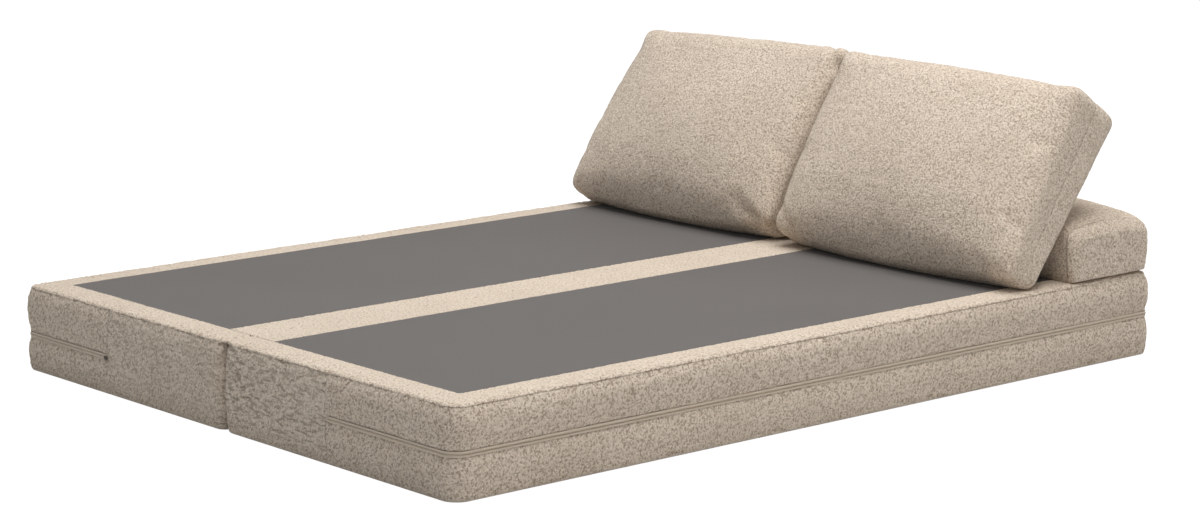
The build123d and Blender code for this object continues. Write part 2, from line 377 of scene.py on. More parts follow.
class Finish:
    """A material, or a world, whose graph is built by calls of node()."""

    def __init__(self, name, kind=bpy.data.materials):
        self.owner = kind.new(name)
        self.owner.use_nodes = True
        self.tree = self.owner.node_tree
        self.tree.nodes.clear()

    def node(self, kind, settings=None, values=(), output=0):
        """Makes a node: its settings first, then the values or links of its sockets."""
        made = self.tree.nodes.new(kind)
        for name, value in (settings or {}).items():
            setattr(made, name, value)
        for key, value in values.items() if isinstance(values, dict) else enumerate(values):
            if isinstance(value, Signal):
                self.tree.links.new(value.socket, made.inputs[key])
            else:
                made.inputs[key].default_value = value
        return Signal(self, made.outputs[output]) if made.outputs else None

    def position(self, scale=(1, 1, 1)):
        """Object coordinates, stretched by a scale."""
        place = self.node("ShaderNodeTexCoord", output="Object")
        return self.node("ShaderNodeMapping", {}, {"Vector": place, "Scale": scale})

    def speckle(self, scale, detail=2.0, rough=0.5, warp=0.0, stretch=(1, 1, 1)):
        """Noise from 0 to 1 with the given number of grains in a metre."""
        values = {"Vector": self.position(stretch), "Scale": scale, "Detail": detail,
                  "Roughness": rough, "Distortion": warp}
        return self.node("ShaderNodeTexNoise", {}, values, "Fac")

    def value_of(self, name):
        """A number kept on the points of the mesh."""
        return self.node("ShaderNodeAttribute", {"attribute_name": name}, output="Fac")

    def mix(self, share, first, second):
        """One colour into another."""
        values = {MIX_FACTOR: share, MIX_A: first, MIX_B: second}
        return self.node("ShaderNodeMix", {"data_type": "RGBA"}, values, MIX_RESULT)

    def bump(self, height, distance, strength):
        values = {"Height": height, "Distance": distance, "Strength": strength}
        return self.node("ShaderNodeBump", {}, values)

    def close(self, **values):
        """Ends the graph in a Principled surface."""
        named = {key.replace("_", " "): value for key, value in values.items()}
        return self.ends(self.node("ShaderNodeBsdfPrincipled", {}, named, "BSDF"))

    def ends(self, surface, output="ShaderNodeOutputMaterial"):
        self.node(output, {}, {"Surface": surface})
        return self.owner


def shade(red, green, blue):
    """A colour in linear light, opaque."""
    return (red, green, blue, 1.0)


def toned(colour, share):
    """A colour with its light scaled, at most 1."""
    return shade(*[min(1.0, share * part) for part in colour[:3]])


# %% [markdown]
# ### Boucle
#
# The nap height that was kept on the points helps to say where the pits lie, and the material
# paints shade into them. Finer noises in the material draw the single loops, which are smaller than
# the mesh can hold, with painted light on their tops, and short level waves where the pile is
# combed, with painted shade in their valleys. Random patches darken the tone a little. A little
# sheen stands for the light that loose fibres catch.

# %% Boucle
BOUCLE = shade(0.715, 0.61, 0.505)
# The dark of painted shade in the pits and wave valleys; the random patches lean to it as well.
BOUCLE_SHADE_AND_PATCH = shade(0.32, 0.245, 0.175)
# The lit colour of painted light on the tops of the loops.
BOUCLE_LIT_LOOP = shade(0.86, 0.77, 0.665)
LOOPS, FIBRES, PATCHES, WAVES = 255, 900, 5, 42
WAVE_SQUEEZE = (1, 1, 3.4)


def boucle_finish():
    cloth = Finish("boucle")
    height, combed = cloth.value_of("nap"), cloth.value_of("combed")
    loops, fibres = cloth.speckle(LOOPS, 3.0, rough=0.6, warp=0.35), cloth.speckle(FIBRES, 1.0)
    waves = cloth.speckle(WAVES, 1.0, warp=0.3, stretch=WAVE_SQUEEZE)
    waves = combed * (1 - waves.step(0.34, 0.5))
    pits = 1 - (0.2 * height + loops).step(0.45, 0.68)
    # Painted light on the tops of the loops.
    colour = cloth.mix(loops.step(0.46, 0.68) * 0.7, BOUCLE, BOUCLE_LIT_LOOP)
    # Painted shade in the pits between the curls.
    colour = cloth.mix(pits * 0.85, colour, BOUCLE_SHADE_AND_PATCH)
    # Random patches of darker tone.
    colour = cloth.mix(cloth.speckle(PATCHES).step(0.35, 0.7) * 0.1, colour, BOUCLE_SHADE_AND_PATCH)
    # Lighter where the pile is combed, toward the lit loop colour.
    colour = cloth.mix(combed * 0.25, colour, BOUCLE_LIT_LOOP)
    # Painted shade in the valleys of the combed waves.
    colour = cloth.mix(waves * 0.55, colour, BOUCLE_SHADE_AND_PATCH)
    relief = loops + fibres * 0.25 - waves
    return cloth.close(Base_Color=colour, Roughness=0.95, Specular_IOR_Level=0.15,
                       Sheen_Weight=0.25, Sheen_Roughness=0.5, Sheen_Tint=shade(1.0, 0.93, 0.84),
                       Normal=cloth.bump(relief, 3.0 * MM, 0.9))


FINISHES = {"boucle": boucle_finish()}
print("finish:", FINISHES["boucle"].name)

# %% [markdown]
# ### The plainer cloths, the foams and the zips
#
# The sleeping panels are a close, smooth grey weave that looks almost flat from a step away. Under
# the rear block lies a dark non-slip cloth. The foams are pale with open cells. A zip has a woven
# tape, nylon teeth and a small dark slider.

# %% Plainer finishes


def woven(name, colour, threads, depth, patch_share):
    """A plain weave: two crossed waves of thread size for relief, and slow noise for patches."""
    cloth = Finish(name)
    values = {"Vector": cloth.position(), "Scale": threads, "Distortion": 0.4}
    across, along = (cloth.node("ShaderNodeTexWave", {"bands_direction": way}, values, "Fac")
                     for way in "XY")
    patches, grain = cloth.speckle(3.0, 3.0, 0.6), cloth.speckle(420, 2.0)
    dark = toned(colour, 0.72)
    shaded = cloth.mix(patches.step(0.3, 0.75) * patch_share, colour, dark)
    shaded = cloth.mix(grain * 0.16, shaded, dark)
    return cloth.close(Base_Color=shaded, Roughness=0.85, Specular_IOR_Level=0.2,
                       Sheen_Weight=0.12, Sheen_Roughness=0.4,
                       Normal=cloth.bump(across + along + grain * 0.6, depth, 0.5))


def cellular(name, colour, cells, depth):
    """Open foam or fibre: rounded cells dent it, with painted shade in the dents between them."""
    foam = Finish(name)
    values = {"Vector": foam.position(), "Scale": cells}
    cell = foam.node("ShaderNodeTexVoronoi", {}, values, "Distance")
    # Painted shade in the dents between the cells.
    shaded = foam.mix(cell.step(0.2, 0.8) * 0.5, colour, toned(colour, 0.6))
    return foam.close(Base_Color=shaded, Roughness=0.95, Normal=foam.bump(1 - cell, depth, 0.8))


def hard(name, colour, metal, roughness):
    """Enamelled metal or nylon with fine wear."""
    part = Finish(name)
    wear = part.speckle(900, 3.0)
    shaded = part.mix(wear.step(0.55, 0.8) * 0.5, colour, toned(colour, 1.7))
    return part.close(Base_Color=shaded, Metallic=metal, Roughness=roughness + 0.15 * wear,
                      Normal=part.bump(wear, 0.05 * MM, 0.4))


FINISHES |= {
    "sleeping_fabric": woven("sleeping_cloth", shade(0.135, 0.126, 0.121), 260, 0.25 * MM, 0.22),
    "underside": woven("underside_cloth", shade(0.045, 0.045, 0.047), 180, 0.3 * MM, 0.2),
    "zip_tape": woven("tape_weave", shade(0.68, 0.585, 0.48), 330, 0.3 * MM, 0.1),
    "base_foam": cellular("firm_foam", shade(0.86, 0.83, 0.68), 700, 0.5 * MM),
    "comfort_foam": cellular("soft_foam", shade(0.93, 0.91, 0.84), 900, 0.4 * MM),
    "fibre": cellular("fibre_fill", shade(0.94, 0.94, 0.92), 260, 1.0 * MM),
    "zip_coil": hard("coil_nylon", shade(0.58, 0.49, 0.39), 0.0, 0.45),
    "zip_slider": hard("slider_enamel", shade(0.055, 0.045, 0.038), 0.6, 0.4),
}
print("finishes:", len(FINISHES))

# %% [markdown]
# ## Setting a piece in place
#
# A piece rides on a body of the frame, stands for one of its solids, and takes its finish from a
# slot of the record. The rear block is the front block turned half round, so its pieces are made by
# the same functions and turned before the nap is raised. That way no two curls repeat.

# %% Register a piece


def dress(mesh, slot):
    mesh.materials.clear()
    mesh.materials.append(FINISHES[slot])


def seat(piece, body, slot, stands_for):
    """Gives a piece the finish of its slot and tells the frame what it is."""
    dress(piece.data, slot)
    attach(piece, body)
    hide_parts(stands_for)
    print(piece.name, len(piece.data.polygons), "faces")


SIDES = {"front": np.ones(3), "rear": np.array([-1.0, -1.0, 1.0])}

# %% [markdown]
# ## The side strips of a block
#
# Three strips close the sides: a lower and an upper one that meet at the zip, round the outer long
# side, and a full-height one round the hinge side. Each is a closed section: an outer skin that
# bows out over the foam, and a plain back. It rolls in at its seams, which draws their dark lines.

# %% Sections of the side strips
CLOTH_STEP = 3.8 * MM
CORE_INSET = 11 * MM
FLOOR_INSET = 9 * MM
FOOT_ROLL = 7 * MM
NEAR_CORNER, FAR_CORNER = 42 * MM, 26 * MM
HINGE_CORNER = 26 * MM
SIDE_GAP = 0.5 * MM
TOP_SEAM, TOP_SEAM_INSET = block_height - 8 * MM, 3 * MM
SEAM_ROLL, TOP_ROLL = 2.2 * MM, 0.9 * MM
ROLL_POINTS = 4
FOOT_BOW, LOWER_BOW, UPPER_BOW, PLAIN_BOW = 1.0 * MM, 3.8 * MM, 6.0 * MM, 4.0 * MM
TOP_LEAN, LEAN_HEIGHT = 4.5 * MM, 30 * MM
WIDEST = 27 * MM
ZIP_INSET = 6 * MM
ZIP_DIP_HEIGHT = 9 * MM
END_SINK = 1.0 * MM
END_EASE, END_ROLL = 6 * MM, 2.4 * MM
ZIP_PLAIN_END, ZIP_SLIDER_END = 358 * MM, 426 * MM


def closed_section(skin):
    """A section from its outer skin, given from the bottom up, closed by a straight back."""
    back = np.array([[-CORE_INSET, skin[-1, 1]], [-CORE_INSET, skin[0, 1]]])
    shown = np.concatenate([np.ones(len(skin)), np.zeros(len(back))])
    shown[[0, len(skin) - 1]] = 0
    return np.concatenate([skin, back]), shown


def foot_skin():
    """From the floor out and up to the widest place, over a small rolled edge."""
    roll = turn((-FLOOR_INSET, FOOT_ROLL), FOOT_ROLL, -90, 0, ROLL_POINTS)
    return np.concatenate([roll[:-1], bow(roll[-1], (0, WIDEST), FOOT_BOW, 7)[:-1]])


def skin_count(height):
    return max(4, round(height / CLOTH_STEP))


def up_to_seam(below, start, height, count):
    """The skin below, then a bow from start to the rolled top seam. The top leans in, by the square
    of the way into the last part below the seam."""
    top = (-TOP_SEAM_INSET, TOP_SEAM - TOP_ROLL)
    roll = turn((top[0] - TOP_ROLL, top[1]), TOP_ROLL, 0, 90, ROLL_POINTS)
    skin = np.concatenate([below, bow(start, top, height, count), roll[1:]])
    into = np.clip((skin[:, 1] - TOP_SEAM + LEAN_HEIGHT) / LEAN_HEIGHT, 0, 1)
    return closed_section(skin - np.stack([TOP_LEAN * into**2, 0 * into], axis=1))


def lower_section(band):
    """From the floor to the lower edge of the zip's band."""
    end = band - SEAM_ROLL
    side = bow((0, WIDEST), (-ZIP_INSET + SEAM_ROLL, end), LOWER_BOW, skin_count(band - WIDEST))
    roll = turn((-ZIP_INSET, end), SEAM_ROLL, 0, 90, ROLL_POINTS)
    return closed_section(np.concatenate([foot_skin(), side, roll[1:]]))


def upper_section(band):
    """From the upper edge of the zip's band to the top seam."""
    roll = turn((-ZIP_INSET, band + SEAM_ROLL), SEAM_ROLL, -90, 0, ROLL_POINTS)
    start = (-ZIP_INSET + SEAM_ROLL, band + SEAM_ROLL)
    return up_to_seam(roll[:-1], start, UPPER_BOW, skin_count(TOP_SEAM - band))


def plain_section():
    """From the floor to the top seam."""
    return up_to_seam(foot_skin(), (0, WIDEST), PLAIN_BOW, skin_count(TOP_SEAM - WIDEST))


zip_route = Route(((ZIP_PLAIN_END, -half_length), (block_width, -half_length),
                   (block_width, half_length), (ZIP_SLIDER_END, half_length)),
                  (NEAR_CORNER, FAR_CORNER))
plain_route = Route(((ZIP_SLIDER_END, half_length), (SIDE_GAP, half_length),
                     (SIDE_GAP, -half_length), (ZIP_PLAIN_END, -half_length)),
                    (HINGE_CORNER, HINGE_CORNER))


def strip(name, route, section, shown, band, turned):
    """Carries a section along a route: place + outward distance, at the section's height. Towards
    each end it eases into the plain strip's section, so that the two meet flush, and rolls in to
    the seam. Beside the zip it keeps its groove, and there the plain strip dips to meet it."""
    lengths = spaced(route.length, CLOTH_STEP)
    place, outward = route.at(lengths)
    ends = np.minimum(lengths, route.length - lengths)[:, None]
    skin = plain_section()[0][:-2]
    plain = np.interp(section[:, 1], skin[:, 1], skin[:, 0])
    beside = np.exp(-((section[:, 1] - band) / ZIP_DIP_HEIGHT) ** 2)
    goal = plain + (-ZIP_INSET + SEAM_ROLL - plain) * beside
    near_end = np.exp(-(ends / END_EASE) ** 2) * shown
    reach = section[None, :, 0] + (goal - section[:, 0]) * near_end
    reach = reach - END_SINK * np.exp(-(ends / END_ROLL) ** 2) * shown
    plan = place[:, None, :] + outward[:, None, :] * reach[:, :, None]
    height = np.broadcast_to(section[None, :, 1:], (*reach.shape, 1))
    grid = np.concatenate([plan, height], axis=2) * turned
    return tube(name, grid), np.tile(shown, len(lengths))


print("zip runs", round(zip_route.length, 3), "m round a block")

# %% [markdown]
# The full-height strip carries a coarser pattern, where the pile lies in combed waves. Part of it
# is level ripples of the mesh: stretched noise that is long across and short in height. The rest
# is drawn by the material where the strip says that it is combed, with painted shade in the ripple
# valleys and in the valleys of the waves.

# %% Make the side strips
SIDE_SLACK = 1.4 * MM
RIPPLE_DEPTH = {"front": 2.8 * MM, "rear": 1.2 * MM}
RIPPLE_SIZE, RIPPLE_SQUEEZE, RIPPLE_WIDTH = 36 * MM, np.array([1.0, 1.0, 3.0]), 0.14
RIPPLE_PATCH = 120 * MM
BARE_FOOT, RIPPLE_RISE, COMB_RISE = 9 * MM, 40 * MM, 50 * MM


def ripples(points, depth):
    """Level ripples: thin valleys where a noise squeezed in height crosses zero."""
    valley = np.exp(-(noise(points * RIPPLE_SQUEEZE, RIPPLE_SIZE, 7) / RIPPLE_WIDTH) ** 2)
    where = smooth(0, RIPPLE_RISE, points[:, 2]) * smooth(-0.6, 0.3, noise(points, RIPPLE_PATCH, 8))
    return -depth * valley * where


def side_strips(side, turned):
    """The three side strips of a block."""
    low, high = box(f"{side}_zip_tape")
    middle = (low[2] + high[2]) / 2
    kinds = {"lower_boxing": (zip_route, lower_section(low[2])),
             "upper_boxing": (zip_route, upper_section(high[2])),
             "plain_boxing": (plain_route, plain_section())}
    for kind, (route, section) in kinds.items():
        piece, shown = strip(f"{side}_{kind}_cloth", route, *section, middle, turned)
        points = places(piece.data)
        ripple, combed = 0.0, 0.0
        if kind == "plain_boxing":
            ripple = ripples(points, RIPPLE_DEPTH[side])
            combed = RIPPLE_DEPTH[side] / RIPPLE_DEPTH["front"] * smooth(0, COMB_RISE, points[:, 2])
        shown = shown * smooth(0, BARE_FOOT, points[:, 2])
        upholster(piece, shown, SIDE_SLACK, ripple, combed=combed)
        seat(piece, f"{side}_block", "boucle", f"{side}_{kind}")


for side, turned in SIDES.items():
    side_strips(side, turned)

# %% [markdown]
# ## Borders and panels of the top
#
# The border is cut to run along the outer long side and both ends, and turns down over the edge.
# It is a sheet between two lines, the rim outside and the panel's edge inside, so the points of
# both lines are matched at a few anchors and joined by straight rulings. The rim is rounded in a
# quarter turn, and the inner edge in a small one. Folded up, the two borders lie face to face, so
# none of the nap may stand higher than the gap between them.

# %% Top border
RIM_INSET, RIM_ROLL, RIM_DROP = 7.0 * MM, 10 * MM, 1.8 * MM
RIM_FOOT, INNER_ROLL = 0.2 * MM, 2.2 * MM
RIM_SHARE, INNER_SHARE, LIP_SHARE = 0.45, 0.2, 0.5
CAP_UNDER = 4 * MM
LIP = 8 * MM
HINGE_X = SIDE_GAP + 0.3 * MM
EDGE_CORNER = 3 * MM
TOP_NAP, NAP_FADE = 0.5, 18 * MM
FOLDED_GAP = 0.4 * MM


def border_lines():
    """The rim and the panel's edge, with the lengths at which they belong together."""
    inner_x, edge_x, edge_y = panel_low[0], panel_high[0], panel_high[1]
    rim_y, rim_x = half_length - RIM_INSET, block_width - RIM_INSET
    corners = (HINGE_CORNER, NEAR_CORNER, FAR_CORNER, HINGE_CORNER)
    rim = Route(((HINGE_X, -edge_y), (HINGE_X, -rim_y), (rim_x, -rim_y), (rim_x, rim_y),
                 (HINGE_X, rim_y), (HINGE_X, edge_y)), [radius - RIM_INSET for radius in corners])
    edge = Route(((HINGE_X + LIP, -edge_y), (edge_x, -edge_y), (edge_x, edge_y),
                  (HINGE_X + LIP, edge_y)), (EDGE_CORNER, EDGE_CORNER))
    near, far = (radius * (1 - cos(pi / 4)) for radius in (NEAR_CORNER, FAR_CORNER))
    anchors = {rim: ((inner_x, -rim_y), (rim_x - near, near - rim_y), (rim_x - far, rim_y - far),
                     (inner_x, rim_y)),
               edge: ((inner_x, -edge_y), (edge_x, -edge_y), (edge_x, edge_y), (inner_x, edge_y))}
    lengths = [[0, *[line.length_of(mark) for mark in at], line.length]
               for line, at in anchors.items()]
    return rim, edge, *lengths


def border_profile(width):
    """Across the border from lip to panel: reach, height, and where it is shown."""
    rim = np.minimum(RIM_ROLL, RIM_SHARE * width)
    inner = np.minimum(INNER_ROLL, INNER_SHARE * width)
    angle = np.linspace(0, pi / 2, 7)[None, :]
    low, high = TOP_SEAM + RIM_FOOT, block_height - RIM_DROP
    flat = np.linspace(0, 1, round(border_width / CLOTH_STEP))[None, 1:-1]
    few = angle[:, ::2]
    zero, lip = np.zeros_like(width), np.minimum(LIP, LIP_SHARE * width)
    under = zero + block_height - CAP_UNDER
    parts = [(zero + RIM_INSET, zero + TOP_SEAM),
             (rim * (1 - np.cos(angle)), low + (high - low) * np.sin(angle)),
             (rim + (width - rim - inner) * flat, block_height - RIM_DROP * (1 - flat) ** 2),
             (width - inner * (1 - np.sin(few)), block_height - inner * (1 - np.cos(few))),
             (width, under), (lip, under), (lip, zero + TOP_SEAM)]
    reach = np.concatenate([part[0] for part in parts], axis=1)
    height = np.concatenate([np.broadcast_to(tall, out.shape) for out, tall in parts], axis=1)
    shown = np.ones(reach.shape[1])
    shown[[0, -4, -3, -2, -1]] = 0
    return reach, height, shown


def top_border(side, turned):
    rim, edge, rim_marks, edge_marks = border_lines()
    lengths = spaced(rim.length, CLOTH_STEP)
    outer = rim.at(lengths)[0]
    inner = edge.at(np.interp(lengths, rim_marks, edge_marks))[0]
    width = np.linalg.norm(inner - outer, axis=1)[:, None]
    reach, height, shown = border_profile(width)
    plan = outer[:, None, :] + (inner - outer)[:, None, :] * (reach / width)[:, :, None]
    grid = np.concatenate([plan, height[:, :, None]], axis=2) * turned
    piece = tube(f"{side}_top_border_cloth", grid)
    full = shown * (TOP_NAP + (1 - TOP_NAP) * np.exp(-(reach / NAP_FADE) ** 2))
    upholster(piece, full.ravel())
    points = places(piece.data)
    points[:, 2] = np.minimum(points[:, 2], block_height + FOLDED_GAP)
    move_to(piece.data, points)
    seat(piece, f"{side}_block", "boucle", f"{side}_top_border")


for side, turned in SIDES.items():
    top_border(side, turned)

# %% [markdown]
# The two halves of the hinge strip meet in a shallow valley over the hinge line. Each half rides
# on its own block, and a narrow cloth sewn under the valley lies across the hinge line.

# %% Hinge strip
VALLEY_HALF, VALLEY_ROLL = 0.4 * MM, 3.2 * MM
HINGE_SLACK = 0.8 * MM
GUSSET_HALF, GUSSET_TOP, GUSSET_FOOT = 4 * MM, block_height - 3.4 * MM, block_height - 5.0 * MM
GUSSET_HALF_LENGTH = half_length - 10 * MM
GUSSET_NAP, GUSSET_POINTS, GUSSET_ROWS = 0.5, 17, 260


def hinge_half(side, turned):
    top, under = block_height, block_height - CAP_UNDER
    valley = turn((VALLEY_HALF + VALLEY_ROLL, top - VALLEY_ROLL), VALLEY_ROLL, 180, 90, 5)
    inner = turn((panel_low[0] - INNER_ROLL, top - INNER_ROLL), INNER_ROLL, 90, 0, ROLL_POINTS)
    flat = np.linspace(valley[-1], inner[0], round(border_width / CLOTH_STEP))[1:-1]
    lip = np.array([[LIP, under], [LIP, TOP_SEAM], [VALLEY_HALF, TOP_SEAM]])
    section = np.concatenate([valley, flat, inner, [[panel_low[0], under]], lip])
    shown = np.ones(len(section))
    shown[-4:] = 0
    along = marks(-panel_high[1], panel_high[1], CLOTH_STEP)
    piece = tube(f"{side}_hinge_border_cloth", swept(section, along) * turned)
    upholster(piece, TOP_NAP * np.tile(shown, len(along)), HINGE_SLACK)
    seat(piece, f"{side}_block", "boucle", f"{side}_hinge_border")


def hinge_gusset():
    """The cloth under the valley: a thin band across the hinge line."""
    across = np.linspace(-GUSSET_HALF, GUSSET_HALF, GUSSET_POINTS)
    top = np.stack([across, np.full(len(across), GUSSET_TOP)], axis=1)
    bottom = np.stack([across[::-1], np.full(len(across), GUSSET_FOOT)], axis=1)
    along = np.linspace(-GUSSET_HALF_LENGTH, GUSSET_HALF_LENGTH, GUSSET_ROWS)
    piece = tube("hinge_gusset", swept(np.concatenate([top, bottom]), along))
    keep_pile(piece.data, GUSSET_NAP)
    dress(piece.data, "boucle")
    bend, level = 0.7 * GUSSET_HALF, (GUSSET_FOOT + GUSSET_TOP) / 2
    -bend
    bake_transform(piece)


for side, turned in SIDES.items():
    hinge_half(side, turned)
hinge_gusset()

# %% [markdown]
# The sleeping panels are smooth and lie a little lower than the borders. They are foam under one
# layer of cloth, so they get a slow unevenness and no nap. The cloths under the blocks are flat on
# the floor.

# %% Panels
PANEL_ROLL = 1.6 * MM
PANEL_STEP, SEAT_STEP = 12 * MM, 5 * MM
PANEL_SLACK, PANEL_SLACK_SIZE = 0.5 * MM, 160 * MM
PANEL_EDGE = 2 * MM, 0.1 * MM
UNDER_CORNERS = 12 * MM, 28 * MM
SEAT_NAP_DEPTH = 2.0 * MM


def panel(side, turned):
    """The grey panel: a slab with its two long upper edges rolled."""
    (x0, y0, low), (x1, y1, high), roll = panel_low, panel_high, PANEL_ROLL
    left = turn((x0 + roll, high - roll), roll, 180, 90, ROLL_POINTS)
    right = turn((x1 - roll, high - roll), roll, 90, 0, ROLL_POINTS)
    flat = np.linspace(left[-1], right[0], round((x1 - x0) / PANEL_STEP))[1:-1]
    under = np.linspace((x1, low), (x0, low), 6)
    section = np.concatenate([left, flat, right, under])
    grid = swept(section, marks(y0, y1, PANEL_STEP)) * turned
    piece = tube(f"{side}_sleeping_panel_cloth", grid)
    points = places(piece.data)
    top = smooth(*[high - depth for depth in PANEL_EDGE], points[:, 2])
    points[:, 2] += top * PANEL_SLACK * (noise(points, PANEL_SLACK_SIZE, 5) - 0.2)
    move_to(piece.data, points)
    node = f"{side}_sleeping_panel"
    seat(piece, f"{side}_block", "sleeping_fabric", node)


def underside(side, turned):
    """The bottom cloth. Under the front block it is boucle, the seat of the folded sofa."""
    low, high = box("front_bottom_panel")
    plain = side == "rear"
    step = PANEL_STEP if plain else SEAT_STEP
    along = marks(low[1], high[1], step)
    to_end = np.minimum(along - low[1], high[1] - along)
    left, right = [
        edge + way * (radius - np.sqrt(radius**2 - np.clip(radius - to_end, 0, radius) ** 2))
        for edge, way, radius in zip((low[0], high[0]), (1, -1), UNDER_CORNERS)]
    share = np.concatenate([np.linspace(0, 1, round((high[0] - low[0]) / step)), [1, 0]])
    grid = np.zeros((len(along), len(share), 3))
    grid[:, :, 0] = left[:, None] + (right - left)[:, None] * share
    grid[:, :, 1] = along[:, None]
    grid[:, -2:, 2] = high[2]
    piece = tube(f"{side}_bottom_panel_cloth", grid * turned)
    if not plain:
        points = places(piece.data)
        curls = nap(points)
        points[:, 2] += (points[:, 2] < MM) * SEAT_NAP_DEPTH * (1 - curls)
        move_to(piece.data, points)
        keep_pile(piece.data, curls)
    slot = "underside" if plain else "boucle"
    seat(piece, f"{side}_block", slot, f"{side}_bottom_panel")


for side, turned in SIDES.items():
    panel(side, turned)
    underside(side, turned)

# %% [markdown]
# ## Zips
#
# A zip is a woven tape, a row of nylon teeth on it and a slider. All three follow stations along a
# line, each with a place and three directions. On a block the stations come from the zip's route,
# and on the bolster and the cushions from the principal directions of the solid that lies there.

# %% Stations
TOOTH_PITCH = 1.7 * MM
TAPE_STEP, TAPE_RIBS, RIB_HEIGHT = 4 * MM, 3, 0.12 * MM
TAPE_INSET = 3.7 * MM


def route_stations(lengths, height, inset, turned):
    """Places, ahead, outward and up along the block's zip."""
    plan, out = zip_route.at(lengths)
    outward = np.concatenate([out, np.zeros((len(out), 1))], axis=1) * turned
    middle = np.concatenate([plan, np.full((len(plan), 1), height)], axis=1) * turned
    up = np.tile([0.0, 0.0, 1.0], (len(plan), 1))
    return middle - outward * inset, np.cross(up, outward), outward, up


def line_stations(node, away_from, pitch):
    """The same along a straight bar of the frame: its principal directions, longest first. Outward
    is the thinnest one, turned away from a point."""
    points = places(nodes[node].data)
    centre = (points.max(0) + points.min(0)) / 2
    ahead, up, outward = np.linalg.svd(points - points.mean(0), full_matrices=False)[2]
    outward = outward * np.sign(outward @ (centre - away_from))
    up = up * np.sign(up[2])
    reach = np.abs((points - centre) @ ahead).max()
    lengths = spaced(2 * reach, pitch) - reach
    place = centre + lengths[:, None] * ahead
    return place, *[np.tile(axis, (len(place), 1)) for axis in (ahead, outward, up)]


def carried(stations, shape):
    """A local shape of (ahead, outward, up) points at every station."""
    place, *axes = stations
    points = place[:, None, :]
    for k, axis in enumerate(axes):
        points = points + shape[None, :, k:k + 1] * axis[:, None, :]
    return points


TOOTH_LENGTH, TOOTH_WIDTH = 0.55 * MM, 1.75 * MM
TOOTH_RINGS = (-0.8 * MM, 1.0), (0.1 * MM, 1.0), (0.8 * MM, 0.55)
RING_CORNERS = (-1, -1), (1, -1), (1, 1), (-1, 1)
TOOTH = np.array([(ahead * TOOTH_LENGTH * share, out, up * TOOTH_WIDTH * share)
                  for out, share in TOOTH_RINGS for ahead, up in RING_CORNERS])
TOOTH_SIDES = [quads(np.arange(12).reshape(3, 4)), [[3, 0, 4, 7], [7, 4, 8, 11]]]
TOOTH_ENDS = [[0, 1, 2, 3], [11, 10, 9, 8]]
TOOTH_FACES = np.concatenate([np.concatenate(TOOTH_SIDES)[:, ::-1], TOOTH_ENDS])


def teeth(name, stations):
    """A row of small domed teeth, one at each station. The fourth side and both ends of a tooth
    are wound the other way round than its other three sides."""
    points = carried(stations, TOOTH)
    faces = TOOTH_FACES[None] + np.arange(len(points))[:, None, None] * len(TOOTH)
    return solid(name, points.reshape(-1, 3), faces.reshape(-1, 4))


def tape(name, stations, half_width, thickness):
    """A ribbon with a few ribs along it: thickness times (1 + a small cosine across)."""
    across = np.linspace(-half_width, half_width, 15)
    rib = RIB_HEIGHT * np.cos(across / half_width * pi * TAPE_RIBS)
    front = np.stack([0 * across, thickness / 2 + rib, across], axis=1)
    back = np.stack([0 * across, 0 * across - thickness / 2, across[::-1]], axis=1)
    return tube(name, carried(stations, np.concatenate([front, back])))


TAPE_MARGIN, TAPE_THICKNESS = 0.2 * MM, 3 * MM
TEETH_TRIM, TEETH_OUT = 4 * MM, 1.7 * MM
LOOSE_TAPE_HALF, LOOSE_TAPE_THICKNESS = 6 * MM, 2 * MM
SLIDER_HALF, SLIDER_OUT = np.array([6.0, 2.1, 4.6]) * MM, 3.0 * MM


def block_zip(side, turned):
    """The zip of a block, in its groove between the two side strips."""
    low, high = box(f"{side}_zip_tape")
    middle, half = (low[2] + high[2]) / 2, (high[2] - low[2]) / 2
    stations = route_stations(spaced(zip_route.length, TAPE_STEP), middle, TAPE_INSET, turned)
    ribbon = tape(f"{side}_zip_tape_weave", stations, half - TAPE_MARGIN, TAPE_THICKNESS)
    seat(ribbon, f"{side}_block", "zip_tape", f"{side}_zip_tape")
    lengths = spaced(zip_route.length - 2 * TEETH_TRIM, TOOTH_PITCH) + TEETH_TRIM
    stations = route_stations(lengths, middle, TAPE_INSET - TEETH_OUT, turned)
    row = teeth(f"{side}_zip_teeth", stations)
    seat(row, f"{side}_block", "zip_coil", f"{side}_zip_coil")


def block_slider(side, turned):
    """The slider at the end of a block's zip: a small rounded shell that stands on the teeth."""
    along = np.linspace(-1, 1, 15)[:, None]
    angle = np.linspace(0, 2 * pi, 25)[None, :-1]
    draw = np.maximum(1 - along**4, 0.02) ** 0.25
    shape = np.stack([along + 0 * angle, draw * np.sin(angle), draw * np.cos(angle)], axis=2)
    centre = middle_of(f"{side}_zip_slider")
    centre[1] = turned[1] * (half_length - TAPE_INSET + SLIDER_OUT)
    piece = tube(f"{side}_zip_slider_shell", centre + shape * SLIDER_HALF)
    seat(piece, f"{side}_zip_slider", "zip_slider", f"{side}_zip_slider")


def loose_zip(owner, away_from):
    """The straight zip of the bolster or of a cushion."""
    stations = line_stations(f"{owner}_zip_tape", away_from, TAPE_STEP)
    ribbon = tape(f"{owner}_zip_tape_weave", stations, LOOSE_TAPE_HALF, LOOSE_TAPE_THICKNESS)
    seat(ribbon, owner, "zip_tape", f"{owner}_zip_tape")
    row = teeth(f"{owner}_zip_teeth", line_stations(f"{owner}_zip_coil", away_from, TOOTH_PITCH))
    seat(row, owner, "zip_coil", f"{owner}_zip_coil")


for side, turned in SIDES.items():
    block_zip(side, turned)
    block_slider(side, turned)
INNER = {"bolster": "bolster_core", "left_cushion": "left_cushion_filling",
         "right_cushion": "right_cushion_filling"}
for owner, inner in INNER.items():
    loose_zip(owner, middle_of(inner))

